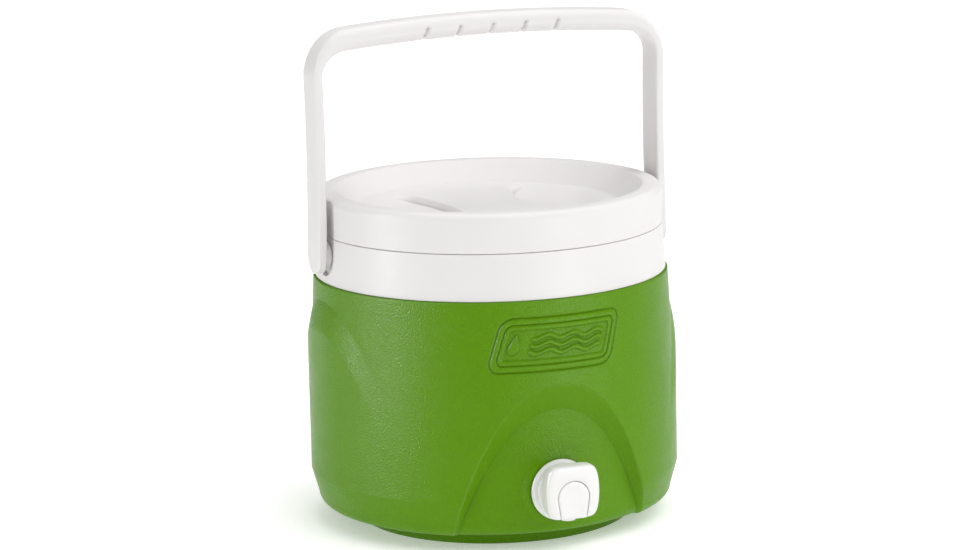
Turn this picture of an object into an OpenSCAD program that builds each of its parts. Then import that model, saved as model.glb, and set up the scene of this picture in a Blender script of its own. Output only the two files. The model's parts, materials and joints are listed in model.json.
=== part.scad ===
// Round insulated drink cooler jug with a press-on lid, a bail handle and a push-button tap.
// The axis of the jug is Z, the floor is z = 0, the tap points to -Y and the handle pivots lie on X.

/* [Body] */
// Radius of the body at its widest
body_r = 137.3; // [134:0.1:140]
// Radius of the body at its top edge
body_top_r = 131.7; // [130.5:0.1:133]
// Height where the body starts to narrow
taper_z = 68; // [60:1:80]
// Height of the body's top edge
body_top_z = 185; // [183:0.5:187]
// Thickness of the outer wall
shell_wall = 3; // [2.5:0.1:3.5]
// Outer radius of the foot ring at the floor
foot_r = 101.5; // [98:0.5:104]
// Width of the foot ring
foot_w = 8.5; // [6:0.5:10]
// Height of the underside above the floor
under_z = 12.5; // [11:0.5:14]

/* [Arches] */
// Height of the raised side arches at their crown
side_arch_z = 172; // [164:1:174]
// Angle from the crown at which a side arch has dropped by 80 mm
side_arch_half = 36.6; // [34:0.1:38]
// Height of the recessed front arch at its crown
front_arch_z = 122.5; // [116:0.5:126]
// Angle from the crown at which the front arch has dropped by 80 mm
front_arch_half = 30.3; // [28:0.1:31]
// Radius of the floor of the front arch
recess_r = 128.5; // [128:0.1:130]

/* [Emblem] */
// Width of the raised frame
emblem_w = 95; // [80:1:100]
// Height of the raised frame
emblem_h = 39; // [30:1:40]
// Height of the middle of the frame
emblem_z = 153.5; // [152:0.5:158]
// Thickness of the frame's line
emblem_line = 4; // [2:0.5:5]

/* [Liner] */
// Inner radius of the water space
liner_r = 115; // [113:0.5:116]
// Thickness of the liner
liner_wall = 3; // [2.5:0.1:3]
// Height of the floor of the water space
liner_floor_z = 25; // [24:0.5:30]

/* [Collar and lid] */
// Radius of the collar at its lower edge
collar_low_r = 130.2; // [129.5:0.1:130.5]
// Radius of the collar at its upper edge, and of the lid's skirt
collar_top_r = 128.2; // [128:0.1:129]
// Height of the seam between the collar and the lid
seam_z = 219; // [218:0.5:220]
// Height of the lid's crown
lid_top_z = 247.5; // [246:0.5:249]
// Radius of the floor of the lid's dish
dish_r = 92; // [88:1:94]
// Depth of the dish below the crown
dish_depth = 14.5; // [12:0.5:16]
// Depth of the finger wells below the floor of the dish
well_depth = 6; // [4:0.5:6.5]
// Width of the bar that is left between the wells
well_bar_w = 57; // [50:1:64]
// Distance from the axis to the flats behind the handle's arms
flat_x = 126.3; // [126:0.1:126.6]

/* [Handle] */
// Height of the handle's pivots
pivot_z = 206; // [204:0.5:208]
// Distance from the axis to the outer face of an arm at its pivot
arm_x = 138.3; // [138:0.1:139]
// Thickness of an arm at its pivot
arm_low_t = 6.8; // [6:0.1:7]
// Thickness of an arm along its straight part
arm_t = 5.2; // [4.8:0.1:5.6]
// Width of the arms and of the crossbar
arm_w = 27; // [24:0.5:29]
// Height of the top of the crossbar
handle_top_z = 376.3; // [370:0.5:380]
// Height of the crossbar's section
bar_h = 15.8; // [14:0.2:17]
// Radius of the pivot pegs
peg_r = 6; // [5:0.1:6.5]
// Radial clearance of the pegs in the collar
peg_gap = 0.05; // [0.02:0.01:0.1]

/* [Tap] */
// Height of the tap's axis
tap_z = 45.5; // [44:0.5:46]
// Radius of the tap's flange
flange_r = 22.4; // [21:0.1:24]
// Width of the tap's block
block_w = 40.4; // [38:0.2:42]
// Height of the tap's block
block_h = 38.6; // [37:0.2:40]
// Distance from the axis to the front face of the tap
tap_front = 156.5; // [156:0.1:158]
// Width of the push button
button_w = 24; // [22:0.1:24.5]
// Height of the push button
button_h = 27.4; // [26:0.2:28]
// Travel of the push button
press = 3.5; // [2.5:0.5:3.5]
// Radius of the tap's threaded tail
tail_r = 10.5; // [10:0.1:10.8]
// Radius of the spout's bore
spout_r = 4; // [3:0.1:4]

/* [Hidden] */
$fn = 96;

// Clearance between pieces of one body that lie against each other
skin = 0.2;
// Clearance between pieces that move past each other
free_gap = 0.4;
// Overlap that keeps a cut from ending on a face
cut = 1;

// Body outline
corner_r = 8;
corner_z = under_z + corner_r;
corner_x = 124.2;
waist_z = 38;
foot_draft = 2.5;
arch_power = 2.4;
arch_fall = 80;
emblem_lean = 0.31;
cavity_top_z = body_top_z - shell_wall;
cavity_low_z = under_z + shell_wall;
neck_r = liner_r + liner_wall + 0.6;
neck_wall = 2.8;
flange_z = 213;
flange_t = 3;
neck_top_z = flange_z - skin;
drain_r = 12;

// Tap outline, with the distances measured from the axis towards the front
pad_r = 24.5;
pad_y = 129;
washer_t = 1;
flange_y = pad_y + washer_t + 0.1;
flange_low_t = 2.5;
barrel_t = 7;
groove_t = 1.5;
step_r = 2;
block_y = flange_y + flange_low_t + barrel_t + groove_t;
block_mid = 3.5;
pocket_y = 150;
chamber_y = 148.1;
chamber_r = 7;
gland_t = 1.5;
gland_r = 4.2;
tail_y = 101;
boss_r = 19;
boss_y = 113.8;
inner_washer_t = 1.5;
nut_y = boss_y - inner_washer_t - 0.2;
nut_t = 8;
nut_across_r = 19;
stem_r = 2.5;
stem_gap = 0.06;
spout_y = 144.5;
spout_wall = 1.4;
spout_low_z = 26.5;
spout_top_z = tap_z - 5;
clip_y = 124;
clip_t = 1.4;
spider_y = 104.4;
spider_t = 2.4;
spring_r = 4.4;
wire_r = 0.55;
spring_turns = 6;
seal_t = 3;

// Outline points on an arc about [x, y]
function arc(x, y, r, from, to, steps) =
    [for (i = [0:steps]) let (a = from + (to - from) * i / steps) [x + r * cos(a), y + r * sin(a)]];

// Outline of an arch as seen from the front, closed well below the body
function arch_outline(r, crown, half, grow) = concat(
    [for (i = [-8:8])
        let (a = half * i / 8)
        [r * sin(a) + grow * sign(a), crown - arch_fall * pow(abs(i / 8), arch_power) + grow]],
    [[r * sin(half * 1.05) + grow, -20], [-r * sin(half * 1.05) - grow, -20]]
);

// Turns a profile of [radius, height] points round the axis
module turned(points) {
    rotate_extrude($fn = 180) polygon(points);
}

// Puts its children along the tap's axis: +Z becomes the way out of the front
module on_tap(y) {
    translate([0, -y, tap_z]) rotate([90, 0, 0]) children();
}

// Repeats its children at the left and right sides
module both_sides() {
    children();
    mirror([1, 0, 0]) children();
}

// Block outline with a flat top and bottom, and sides that bulge at their middle
module cushion(w, h) {
    steps = 48;
    polygon([for (i = [0:steps - 1])
        let (a = 360 * i / steps)
        [sign(cos(a)) * pow(abs(cos(a)), 0.25) * w / 2, sin(a) * h / 2]]);
}

// Arch with a round top and sides that close in a little towards its foot
module button_outline(w, h, grow) {
    low = block_mid - block_h / 2;
    mid = low + h - w / 2;
    wide = w / 2 + grow;
    narrow = 0.42 * w + grow;
    translate([0, mid]) circle(wide);
    polygon([[-wide, mid], [-narrow, low - grow], [narrow, low - grow], [wide, mid]]);
}

// Leaning frame, a parallelogram with square corners
module leaning(w, h) {
    lean = emblem_lean * h / 2;
    polygon([
        [-w / 2 - lean, -h / 2], [w / 2 - lean, -h / 2],
        [w / 2 + lean, h / 2], [-w / 2 + lean, h / 2]
    ]);
}

// Wall of the body without its foot, from its underside up to its top edge
function body_profile() = concat(
    [[0, under_z]],
    arc(corner_x, corner_z, corner_r, -90, 0, 6),
    [
        [body_r, waist_z], [body_r, taper_z], [body_r - 0.5, taper_z + 12],
        [body_top_r, body_top_z - 1.2], [body_top_r - 1.2, body_top_z], [0, body_top_z]
    ]
);

module arch_solid(crown, half, r, grow) {
    rotate([90, 0, 0]) linear_extrude(200) polygon(arch_outline(r, crown, half, grow));
}

module side_arches() {
    for (side = [-90, 90]) rotate(side) intersection() {
        arch_solid(side_arch_z, side_arch_half, body_r, 0);
        turned([
            [110, taper_z - 4], [body_r, taper_z - 4], [body_r, side_arch_z - 21],
            [body_top_r + 0.7, side_arch_z], [110, side_arch_z]
        ]);
    }
}

module recess(grow) {
    intersection() {
        arch_solid(front_arch_z, front_arch_half, body_r - 2, grow);
        turned([
            [recess_r - grow, 0], [160, 0], [160, front_arch_z + 9],
            [recess_r - grow + 9.75, front_arch_z + 9], [recess_r - grow, front_arch_z - 18]
        ]);
    }
}

// Space inside the outer wall that holds the foam
module cavity() {
    difference() {
        turned([
            [0, cavity_low_z], [corner_x - 1, cavity_low_z],
            [body_r - shell_wall - 4, corner_z + 3], [body_r - shell_wall - 0.6, waist_z + 4],
            [body_r - shell_wall - 0.6, taper_z], [body_top_r - shell_wall, cavity_top_z],
            [0, cavity_top_z]
        ]);
        recess(shell_wall);
        on_tap(pad_y - 1) cylinder(h = 20, r = pad_r + shell_wall, center = true);
    }
}

module outer_shell() {
    color([0.36, 0.58, 0.09]) difference() {
        union() {
            difference() {
                union() {
                    turned(body_profile());
                    side_arches();
                    intersection() {
                        rotate([90, 0, 0]) translate([0, emblem_z]) linear_extrude(200) difference() {
                            leaning(emblem_w, emblem_h);
                            leaning(emblem_w - 2 * emblem_line, emblem_h - 2 * emblem_line);
                        }
                        turned([
                            [120, emblem_z - 25], [body_r - 2.5, emblem_z - 25],
                            [body_r - 4.3, emblem_z + 25], [120, emblem_z + 25]
                        ]);
                    }
                }
                recess(0);
            }
            turned([
                [foot_r - foot_w, 0], [foot_r, 0], [foot_r + foot_draft, under_z + 1],
                [foot_r - foot_w - 1, under_z + 1]
            ]);
            on_tap(pad_y) translate([0, 0, -6]) cylinder(h = 6, r = pad_r);
            turned([
                [neck_r, cavity_top_z], [neck_r + neck_wall, cavity_top_z],
                [neck_r + neck_wall, neck_top_z], [neck_r, neck_top_z]
            ]);
        }
        cavity();
        translate([0, 0, cavity_top_z - cut]) cylinder(h = 60, r = neck_r, $fn = 180);
        translate([0, 0, under_z - cut]) cylinder(h = shell_wall + 2 * cut, r = drain_r);
        on_tap(pad_y - 20) cylinder(h = 40, r = tail_r + 0.5);
    }
}

module insulation_foam() {
    liner_out = liner_r + liner_wall + skin;
    color([0.93, 0.87, 0.62]) difference() {
        intersection() {
            cavity();
            turned([
                [0, cavity_low_z + skin], [corner_x - 2, cavity_low_z + skin],
                [body_r - shell_wall - 4.3, corner_z + 3 + skin],
                [body_r - shell_wall - 0.8, waist_z + 4], [body_r - shell_wall - 0.8, taper_z],
                [body_top_r - shell_wall - skin, cavity_top_z - skin], [0, cavity_top_z - skin]
            ]);
        }
        recess(shell_wall + skin);
        on_tap(pad_y - 1) cylinder(h = 20 + 2 * skin, r = pad_r + shell_wall + skin, center = true);
        translate([0, 0, liner_floor_z - liner_wall - skin])
            cylinder(h = 200, r = liner_out, $fn = 180);
        on_tap(pad_y - 30) cylinder(h = 60, r = tail_r + 0.5);
        translate([0, 0, under_z]) cylinder(h = 6.5, r = drain_r + 1);
    }
}

module foam_plug() {
    color([0.25, 0.42, 0.08]) {
        translate([0, 0, under_z - 1.6]) cylinder(h = 1.5, r = drain_r + 3);
        translate([0, 0, under_z - 0.1]) cylinder(h = 5.5, r = drain_r - 0.1);
    }
}

module inner_liner() {
    low = liner_floor_z - liner_wall;
    out = liner_r + liner_wall;
    rim_r = neck_r + neck_wall - skin;
    color([0.95, 0.95, 0.93]) difference() {
        union() {
            difference() {
                turned([
                    [0, low], [out - 5, low], [out, low + 5], [out, flange_z],
                    [rim_r, flange_z], [rim_r, flange_z + flange_t - skin],
                    [0, flange_z + flange_t - skin]
                ]);
                translate([0, 0, liner_floor_z + 4]) cylinder(h = 200, r = liner_r, $fn = 180);
                turned([
                    [0, liner_floor_z], [liner_r - 4, liner_floor_z],
                    [liner_r, liner_floor_z + 4 + cut], [0, liner_floor_z + 4 + cut]
                ]);
            }
            intersection() {
                on_tap(boss_y) cylinder(h = 10, r = boss_r);
                translate([0, 0, low + 1]) cylinder(h = 100, r = liner_r + 1, $fn = 180);
            }
        }
        on_tap(boss_y - 5) cylinder(h = 20, r = tail_r + 0.4);
    }
}

// Slab outside the flat that lies behind an arm, round at its foot
module arm_flat(high) {
    half = arm_w / 2 + 2;
    translate([flat_x, -half, pivot_z]) cube([20, 2 * half, high - pivot_z]);
    translate([flat_x, 0, pivot_z]) rotate([0, 90, 0]) cylinder(h = 20, r = half);
}

module collar() {
    low = body_top_z + skin;
    in = 3;
    color([0.93, 0.93, 0.92]) difference() {
        union() {
            difference() {
                turned([
                    [110, low], [collar_low_r - 0.6, low], [collar_low_r, low + 0.6],
                    [collar_top_r, seam_z - 0.8], [collar_top_r - 0.8, seam_z], [110, seam_z]
                ]);
                turned([
                    [100, low - cut], [collar_low_r - in, low - cut],
                    [collar_top_r - in, seam_z - in + skin], [100, seam_z - in + skin]
                ]);
            }
            both_sides() intersection() {
                translate([neck_r + neck_wall + 0.3, -arm_w / 2 - 5, low])
                    cube([8, arm_w + 10, seam_z - in - low + 1]);
                cylinder(h = 300, r = collar_top_r - 1, $fn = 180);
            }
        }
        cylinder(h = 300, r = liner_r + 1, $fn = 180);
        both_sides() arm_flat(seam_z + cut);
        translate([0, 0, pivot_z]) rotate([0, 90, 0])
            cylinder(h = 300, r = peg_r + peg_gap, center = true);
    }
}

// Height of the crossbar's top at a distance from the middle
function bar_top(x) = handle_top_z - 5.1 * pow(x / 112, 2);

module handle_front() {
    bend = 35;
    in_bend = 15;
    steps = 6;
    shoulder_z = bar_top(arm_x - bend) - bend;
    low_z = pivot_z - arm_w / 2;
    thick_z = pivot_z + 26;
    outer = concat(
        [for (i = [0:steps]) let (x = (arm_x - 1 - bend) * i / steps) [x, bar_top(x)]],
        arc(arm_x - 1 - bend, shoulder_z - 0.6, bend, 84, 0, steps),
        [[arm_x - 1.6, 262], [arm_x, pivot_z + 8], [arm_x, low_z]]
    );
    inner = concat(
        [[arm_x - arm_low_t, low_z], [arm_x - arm_low_t, thick_z]],
        [[arm_x - 1.6 - arm_t, thick_z + 14]],
        arc(arm_x - 1.2 - arm_t - in_bend, shoulder_z + 2.5, in_bend, 0, 84, steps),
        [for (i = [steps:-1:0])
            let (x = (arm_x - 1 - arm_t - in_bend) * i / steps)
            [x, bar_top(x) - bar_h]]
    );
    polygon(concat(outer, inner));
}

module handle() {
    notch_pitch = 25.5;
    color([0.94, 0.94, 0.94]) {
        difference() {
            intersection() {
                both_sides() translate([0, arm_w / 2, 0]) rotate([90, 0, 0])
                    linear_extrude(arm_w) handle_front();
                union() {
                    translate([0, 0, pivot_z]) rotate([0, 90, 0])
                        cylinder(h = 400, r = arm_w / 2, center = true);
                    translate([-200, -arm_w / 2, pivot_z]) cube([400, arm_w, 200]);
                }
            }
            for (i = [-2:2]) translate([i * notch_pitch, -arm_w / 2, bar_top(0) - bar_h])
                rotate([0, 14, 0]) cube([2, 3, 16], center = true);
        }
        both_sides() translate([0, 0, pivot_z]) rotate([0, 90, 0]) {
            translate([0, 0, flat_x + free_gap])
                cylinder(h = arm_x - arm_low_t - flat_x, r = peg_r + 4);
            translate([0, 0, neck_r + neck_wall + 0.6])
                cylinder(h = flat_x - neck_r - neck_wall, r = peg_r);
        }
    }
}

// Plan of one finger well, reaching from the bar to the edge of the dish's floor
module well_plan(grow) {
    intersection() {
        circle(dish_r - 2 + grow, $fn = 180);
        translate([well_bar_w / 2 - grow, -68 - grow]) square([100, 136 + 2 * grow]);
    }
}

module lid_shell() {
    low = seam_z + free_gap;
    r = collar_top_r - 0.2;
    floor_z = lid_top_z - dish_depth;
    t = 3;
    color([0.95, 0.95, 0.95]) difference() {
        union() {
            turned(concat(
                [[0, floor_z], [0, floor_z - t], [dish_r + 1, floor_z - t], [118, lid_top_z - 5.5],
                [r - t, lid_top_z - 5.5], [r - t, low], [r - 0.5, low], [r, low + 0.5]],
                arc(r - 4, lid_top_z - 4, 4, 0, 90, 5),
                arc(121, lid_top_z - 3, 3, 90, 122, 2),
                [[dish_r + 2.5, floor_z + 0.6], [dish_r, floor_z]]
            ));
            both_sides() translate([0, 0, floor_z - well_depth - t])
                linear_extrude(well_depth + t - 0.5) well_plan(t);
        }
        both_sides() translate([0, 0, floor_z - well_depth]) linear_extrude(well_depth + 5) well_plan(0);
        both_sides() arm_flat(lid_top_z - 6);
    }
}

module lid_liner() {
    r = liner_r - 1.5;
    low = 194;
    t = 2.4;
    groove_low = 207.6;
    groove_high = 212.4;
    groove_r = r - 3.4;
    rim_z = seam_z + 0.6;
    color([0.93, 0.93, 0.93]) turned([
        [0, low], [r - 1.5, low], [r, low + 1.5], [r, groove_low], [groove_r, groove_low],
        [groove_r, groove_high], [r, groove_high], [r, rim_z], [r + 11, rim_z], [r + 11, rim_z + t],
        [groove_r - t, rim_z + t], [groove_r - t, low + t], [0, low + t]
    ]);
}

module lid_foam() {
    rim_z = seam_z + 3;
    plug_r = liner_r - 1.5 - 3.4 - 2.4 - skin;
    well_low_z = lid_top_z - dish_depth - well_depth - 3;
    top_z = well_low_z - skin;
    color([0.95, 0.92, 0.8]) turned([
        [0, 194 + 2.4 + skin], [plug_r, 194 + 2.4 + skin], [plug_r, rim_z + skin],
        [collar_top_r - 3.6, rim_z + skin], [collar_top_r - 3.6, 240], [118.5, 240],
        [dish_r + 3.5, 228.6], [dish_r + 3.5, top_z], [0, top_z]
    ]);
}

module lid_gasket() {
    color([0.85, 0.86, 0.86]) rotate_extrude($fn = 180) translate([liner_r - 2.55, 210]) circle(2.2);
}

module tap_body() {
    color([0.94, 0.94, 0.94]) difference() {
        union() {
            on_tap(flange_y) cylinder(h = flange_low_t, r = flange_r);
            on_tap(flange_y) cylinder(h = flange_low_t + barrel_t, r = flange_r - step_r);
            on_tap(flange_y) cylinder(h = block_y - flange_y + 1, r = flange_r - 2 * step_r);
            on_tap(tail_y) cylinder(h = flange_y - tail_y + 1, r = tail_r);
            on_tap(block_y) translate([0, block_mid, 0])
                linear_extrude(tap_front - block_y) cushion(block_w, block_h);
            translate([0, -spout_y, spout_low_z]) cylinder(h = 8, r = spout_r + spout_wall);
        }
        on_tap(tail_y - cut) cylinder(h = chamber_y - tail_y + cut, r = chamber_r);
        on_tap(tail_y - cut) cylinder(h = spider_y - tail_y + cut + 0.1, r = chamber_r + 1);
        on_tap(pocket_y) linear_extrude(20) button_outline(button_w, button_h, free_gap);
        on_tap(chamber_y - cut) cylinder(h = 10, r = stem_r + stem_gap);
        on_tap(chamber_y - cut) cylinder(h = gland_t + cut, r = gland_r);
        translate([0, -spout_y, spout_low_z - cut])
            cylinder(h = spout_top_z - spout_low_z + cut, r = spout_r);
    }
}

module tap_washer_outer() {
    color([0.75, 0.75, 0.76]) on_tap(pad_y + 0.05) difference() {
        cylinder(h = washer_t, r = 20);
        translate([0, 0, -cut]) cylinder(h = 5, r = tail_r + 0.2);
    }
}

module tap_washer_inner() {
    color([0.75, 0.75, 0.76]) on_tap(boss_y - inner_washer_t - 0.05) difference() {
        cylinder(h = inner_washer_t, r = 16);
        translate([0, 0, -cut]) cylinder(h = 5, r = tail_r + 0.2);
    }
}

module tap_nut() {
    color([0.9, 0.9, 0.9]) on_tap(nut_y - nut_t) difference() {
        union() {
            cylinder(h = nut_t, r = nut_across_r, $fn = 6);
            translate([0, 0, nut_t - 2]) cylinder(h = 2, r = 17.5);
        }
        translate([0, 0, -cut]) cylinder(h = nut_t + 2 * cut, r = tail_r + 0.1);
    }
}

// Disc with arms that holds the inner end of the spring and guides the stem
module tap_spider() {
    color([0.9, 0.9, 0.9]) on_tap(spider_y - spider_t) difference() {
        cylinder(h = spider_t, r = chamber_r + 1 - 0.05);
        translate([0, 0, -cut]) cylinder(h = 6, r = stem_r + stem_gap);
        for (a = [45:90:315]) rotate(a) translate([5.1, 0, -cut]) cylinder(h = 6, r = 1.6);
    }
}

module stem_o_ring() {
    ring_r = gland_t / 2 - 0.05;
    color([0.2, 0.2, 0.2]) on_tap(chamber_y + gland_t / 2) rotate_extrude()
        translate([stem_r + ring_r + stem_gap, 0]) circle(ring_r, $fn = 24);
}

module tap_button() {
    back_y = pocket_y + press + 0.5;
    color([0.96, 0.96, 0.96]) difference() {
        on_tap(back_y) linear_extrude(tap_front + 0.3 - back_y) button_outline(button_w, button_h, 0);
        on_tap(back_y - cut) cylinder(h = 1.7 + cut, r = stem_r);
    }
}

module tap_stem() {
    head_y = pocket_y + press + 2;
    end_y = tail_y - seal_t - 2.5;
    color([0.88, 0.88, 0.88]) on_tap(end_y) difference() {
        cylinder(h = head_y - end_y, r = stem_r);
        translate([0, 0, clip_y - end_y]) difference() {
            cylinder(h = clip_t + 0.2, r = 4);
            translate([0, 0, -cut]) cylinder(h = 5, r = stem_r - 0.6);
        }
    }
}

module tap_clip() {
    color([0.8, 0.8, 0.82]) on_tap(clip_y + 0.1) difference() {
        cylinder(h = clip_t, r = 5.4);
        translate([0, 0, -cut]) cylinder(h = 5, r = stem_r - 0.55);
        translate([0, -stem_r + 0.55, -cut]) cube([8, 2 * stem_r - 1.1, 5]);
    }
}

module tap_seal() {
    color([0.15, 0.15, 0.15]) on_tap(tail_y - seal_t - 0.1) difference() {
        union() {
            cylinder(h = seal_t, r = 9.4);
            translate([0, 0, -1.5]) cylinder(h = 2, r = 4.5);
        }
        translate([0, 0, -3]) cylinder(h = 10, r = stem_r + 0.02);
    }
}

// Helix of round wire, closed at its ends, made as one tube
module helix(r, wire, turns, height, per_turn, sides) {
    n = turns * per_turn;
    pts = [for (i = [0:n], j = [0:sides - 1])
        let (
            a = 360 * i / per_turn,
            b = 360 * j / sides,
            ring = r + wire * cos(b)
        )
        [ring * cos(a), ring * sin(a), height * i / n + wire * sin(b)]];
    sides_faces = [for (i = [0:n - 1], j = [0:sides - 1])
        let (k = (j + 1) % sides)
        [i * sides + j, i * sides + k, (i + 1) * sides + k, (i + 1) * sides + j]];
    low_cap = [for (j = [0:sides - 1]) sides - 1 - j];
    high_cap = [for (j = [0:sides - 1]) n * sides + j];
    polyhedron(pts, concat(sides_faces, [low_cap, high_cap]));
}

module tap_spring() {
    low = spider_y + wire_r + 0.15;
    high = clip_y - wire_r - 0.1;
    color([0.7, 0.7, 0.72]) on_tap(low)
        helix(spring_r, wire_r, spring_turns, high - low, 16, 8);
}

outer_shell();
insulation_foam();
foam_plug();
inner_liner();
collar();
handle();
lid_shell();
lid_liner();
lid_foam();
lid_gasket();
tap_body();
tap_washer_outer();
tap_washer_inner();
tap_nut();
tap_spider();
stem_o_ring();
tap_button();
tap_stem();
tap_clip();
tap_seal();
tap_spring();
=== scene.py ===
"""Looks of the insulated drink cooler jug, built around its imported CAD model.

Lengths are in millimetres and become metres only where a mesh, light or camera is made.
Directions round the jug are angles in degrees from the tap (-Y), positive towards +X.
"""

import json
import math

import bmesh
import bpy
import numpy as np
from mathutils import Matrix, Vector


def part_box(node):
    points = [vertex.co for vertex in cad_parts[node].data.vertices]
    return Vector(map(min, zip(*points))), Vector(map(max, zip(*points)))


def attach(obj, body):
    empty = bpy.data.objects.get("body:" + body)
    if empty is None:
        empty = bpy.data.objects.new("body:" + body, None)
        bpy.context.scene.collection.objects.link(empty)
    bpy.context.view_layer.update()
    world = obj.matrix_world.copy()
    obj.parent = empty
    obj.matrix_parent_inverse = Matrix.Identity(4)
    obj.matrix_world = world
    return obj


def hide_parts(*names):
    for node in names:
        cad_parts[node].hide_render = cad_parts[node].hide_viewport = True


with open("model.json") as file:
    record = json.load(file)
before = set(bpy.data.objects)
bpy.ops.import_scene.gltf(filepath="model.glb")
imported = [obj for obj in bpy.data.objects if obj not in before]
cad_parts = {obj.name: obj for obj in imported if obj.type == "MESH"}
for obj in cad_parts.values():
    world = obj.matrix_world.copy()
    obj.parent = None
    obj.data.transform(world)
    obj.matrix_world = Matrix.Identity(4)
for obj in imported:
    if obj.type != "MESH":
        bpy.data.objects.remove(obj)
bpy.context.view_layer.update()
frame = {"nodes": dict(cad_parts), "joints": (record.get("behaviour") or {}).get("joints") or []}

MM = 0.001


def box_mm(node):
    """Low and high corner of a CAD node's box, in millimetres."""
    low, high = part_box(node)
    return np.array(low) / MM, np.array(high) / MM


# ---------------------------------------------------------------- sizes from the frame
shell_high = box_mm("outer_shell")[1]
collar_low, collar_high = box_mm("collar")
lid_low, lid_high = box_mm("lid_shell")
handle_low, handle_high = box_mm("handle")
tap_low, tap_high = box_mm("tap_body")
button_low, button_high = box_mm("tap_button")
washer_low, washer_high = box_mm("tap_washer_outer")
plug_high = box_mm("foam_plug")[1]

BODY_R = shell_high[0]
NECK_TOP = shell_high[2]
BODY_TOP = collar_low[2] - 0.2
COLLAR_LOW_R = collar_high[1]
SEAM_Z = collar_high[2]
LID_R = lid_high[1]
LID_LOW = lid_low[2]
LID_TOP = lid_high[2]
PIVOT_Z = frame["joints"][0]["pos_m"][2] / MM
ARM_W = handle_high[1] - handle_low[1]
ARM_X = handle_high[0]
HANDLE_TOP = handle_high[2]
TAP_Z = (washer_low[2] + washer_high[2]) / 2
FLANGE_Y = -washer_low[1] + 0.05
TAP_FRONT = -tap_low[1]
BUTTON_W = button_high[0] - button_low[0]
BUTTON_TOP = button_high[2]
BUTTON_FRONT = -button_low[1]
BUTTON_BACK = -button_high[1]
PLUG_R = plug_high[0] - 3

# ---------------------------------------------------------------- sizes of the looks
BODY_TOP_R = 131.7
UNDER_Z = 12.5
CORNER_R = 8.0
CORNER = (124.2, UNDER_Z + CORNER_R)
WAIST_Z = 38.0
TAPER_Z = 70.0
FOOT_R = 101.5
FOOT_TOP_R = 104.0
FOOT_W = 8.5
WALL = 3.0
RECESS_R = 128.5
ARCH_FALL = 80.0
EMBLEM_Z = 153.5
EMBLEM_R = 133.3
EMBLEM_LEAN = 0.31
EMBLEM_HALF = (47.7, 19.5)
FLAT_X = 126.3
FLAT_HALF = ARM_W / 2 + 2
PAD_Y = 128.95
PAD_R = 28.0
NECK_OUT = 121.4
NECK_IN = 118.6
COLLAR_TOP_R = COLLAR_LOW_R - 2.0
DISH_Z = LID_TOP - 14.5
BLOCK_HALF = (20.2, 19.3)
BLOCK_MID = tap_high[2] - BLOCK_HALF[1]
BLOCK_LOW = BLOCK_MID - BLOCK_HALF[1]
POCKET_Y = TAP_FRONT - 6.5
SPOUT_Y = TAP_FRONT - 12.0
SPOUT_R = 4.0
SPOUT_LOW = 26.5


# ---------------------------------------------------------------- mesh helpers
def smooth01(t):
    """0 to 1 with no slope at either end."""
    t = np.clip(t, 0, 1)
    return t * t * (3 - 2 * t)


def ramp(t, soft=0.12, end=None):
    """Straight from 0 to 1, with its corners rounded over soft at 0 and over end at 1."""
    end = soft if end is None else end
    t = np.clip(t, -soft, 1 + end)
    low = np.where(t < soft, (t + soft) ** 2 / (4 * soft), t)
    return np.where(t > 1 - end, 1 - (1 + end - t) ** 2 / (4 * end), low)


def round_min(a, b, k):
    """The smaller of a and b, blended over k."""
    h = np.clip(0.5 + 0.5 * (b - a) / k, 0, 1)
    return b + (a - b) * h - k * h * (1 - h)


def arc_points(centre, radius, start, end, count):
    """Points on an arc, angles in degrees."""
    a = np.radians(np.linspace(start, end, count))
    return np.stack([centre[0] + radius * np.cos(a), centre[1] + radius * np.sin(a)], -1)


def outline(points, step):
    """The polyline through points, cut into pieces no longer than step."""
    points = [np.asarray(p, float) for p in points]
    out = [points[0]]
    for p, q in zip(points, points[1:]):
        n = max(1, int(math.ceil(np.linalg.norm(q - p) / step)))
        out += [p + (q - p) * (i + 1) / n for i in range(n)]
    return np.array(out)


def grid_faces(rows, columns, wrap=True, loop=False):
    """Quads of a grid. wrap joins the last column to the first, and loop the last row to the first."""
    i = np.arange(rows if loop else rows - 1)[:, None]
    j = np.arange(columns if wrap else columns - 1)[None, :]
    i2, j2 = (i + 1) % rows, (j + 1) % columns
    quads = np.stack([i * columns + j, i * columns + j2, i2 * columns + j2, i2 * columns + j], -1)
    return quads.reshape(-1, 4)


def closed_ends(rows, columns, faces):
    """The faces of a grid, with a face over its first row and one over its last."""
    first = list(range(columns))[::-1]
    last = [(rows - 1) * columns + k for k in range(columns)]
    return [list(f) for f in faces] + [first, last]


def face_out(mesh):
    """Turns every closed part's faces outwards."""
    bm = bmesh.new()
    bm.from_mesh(mesh)
    bmesh.ops.recalc_face_normals(bm, faces=bm.faces)
    bm.to_mesh(mesh)
    bm.free()


def plain_object(name, points, faces):
    """An object from points in millimetres, its faces outwards."""
    mesh = bpy.data.meshes.new(name)
    mesh.from_pydata((np.asarray(points) * MM).tolist(), [], [list(f) for f in faces])
    mesh.validate()
    thing = bpy.data.objects.new(name, mesh)
    bpy.context.scene.collection.objects.link(thing)
    face_out(mesh)
    return thing


def add_mesh(name, points, faces, material, body, node, sharp=38.0):
    """A smooth-shaded piece that rides on body and stands for node, if one is named."""
    piece = plain_object(name, points, faces)
    piece.data.materials.append(material)
    piece.data.polygons.foreach_set("use_smooth", [True] * len(piece.data.polygons))
    piece.data.set_sharp_from_angle(angle=math.radians(sharp))
    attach(piece, body)
    if node:
        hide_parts(node)
    return piece


def round_points(theta, radius, z):
    """Points at angles from the tap, in degrees."""
    a = np.radians(theta)
    return np.stack([radius * np.sin(a), -radius * np.cos(a), z + 0 * a], -1)


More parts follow.
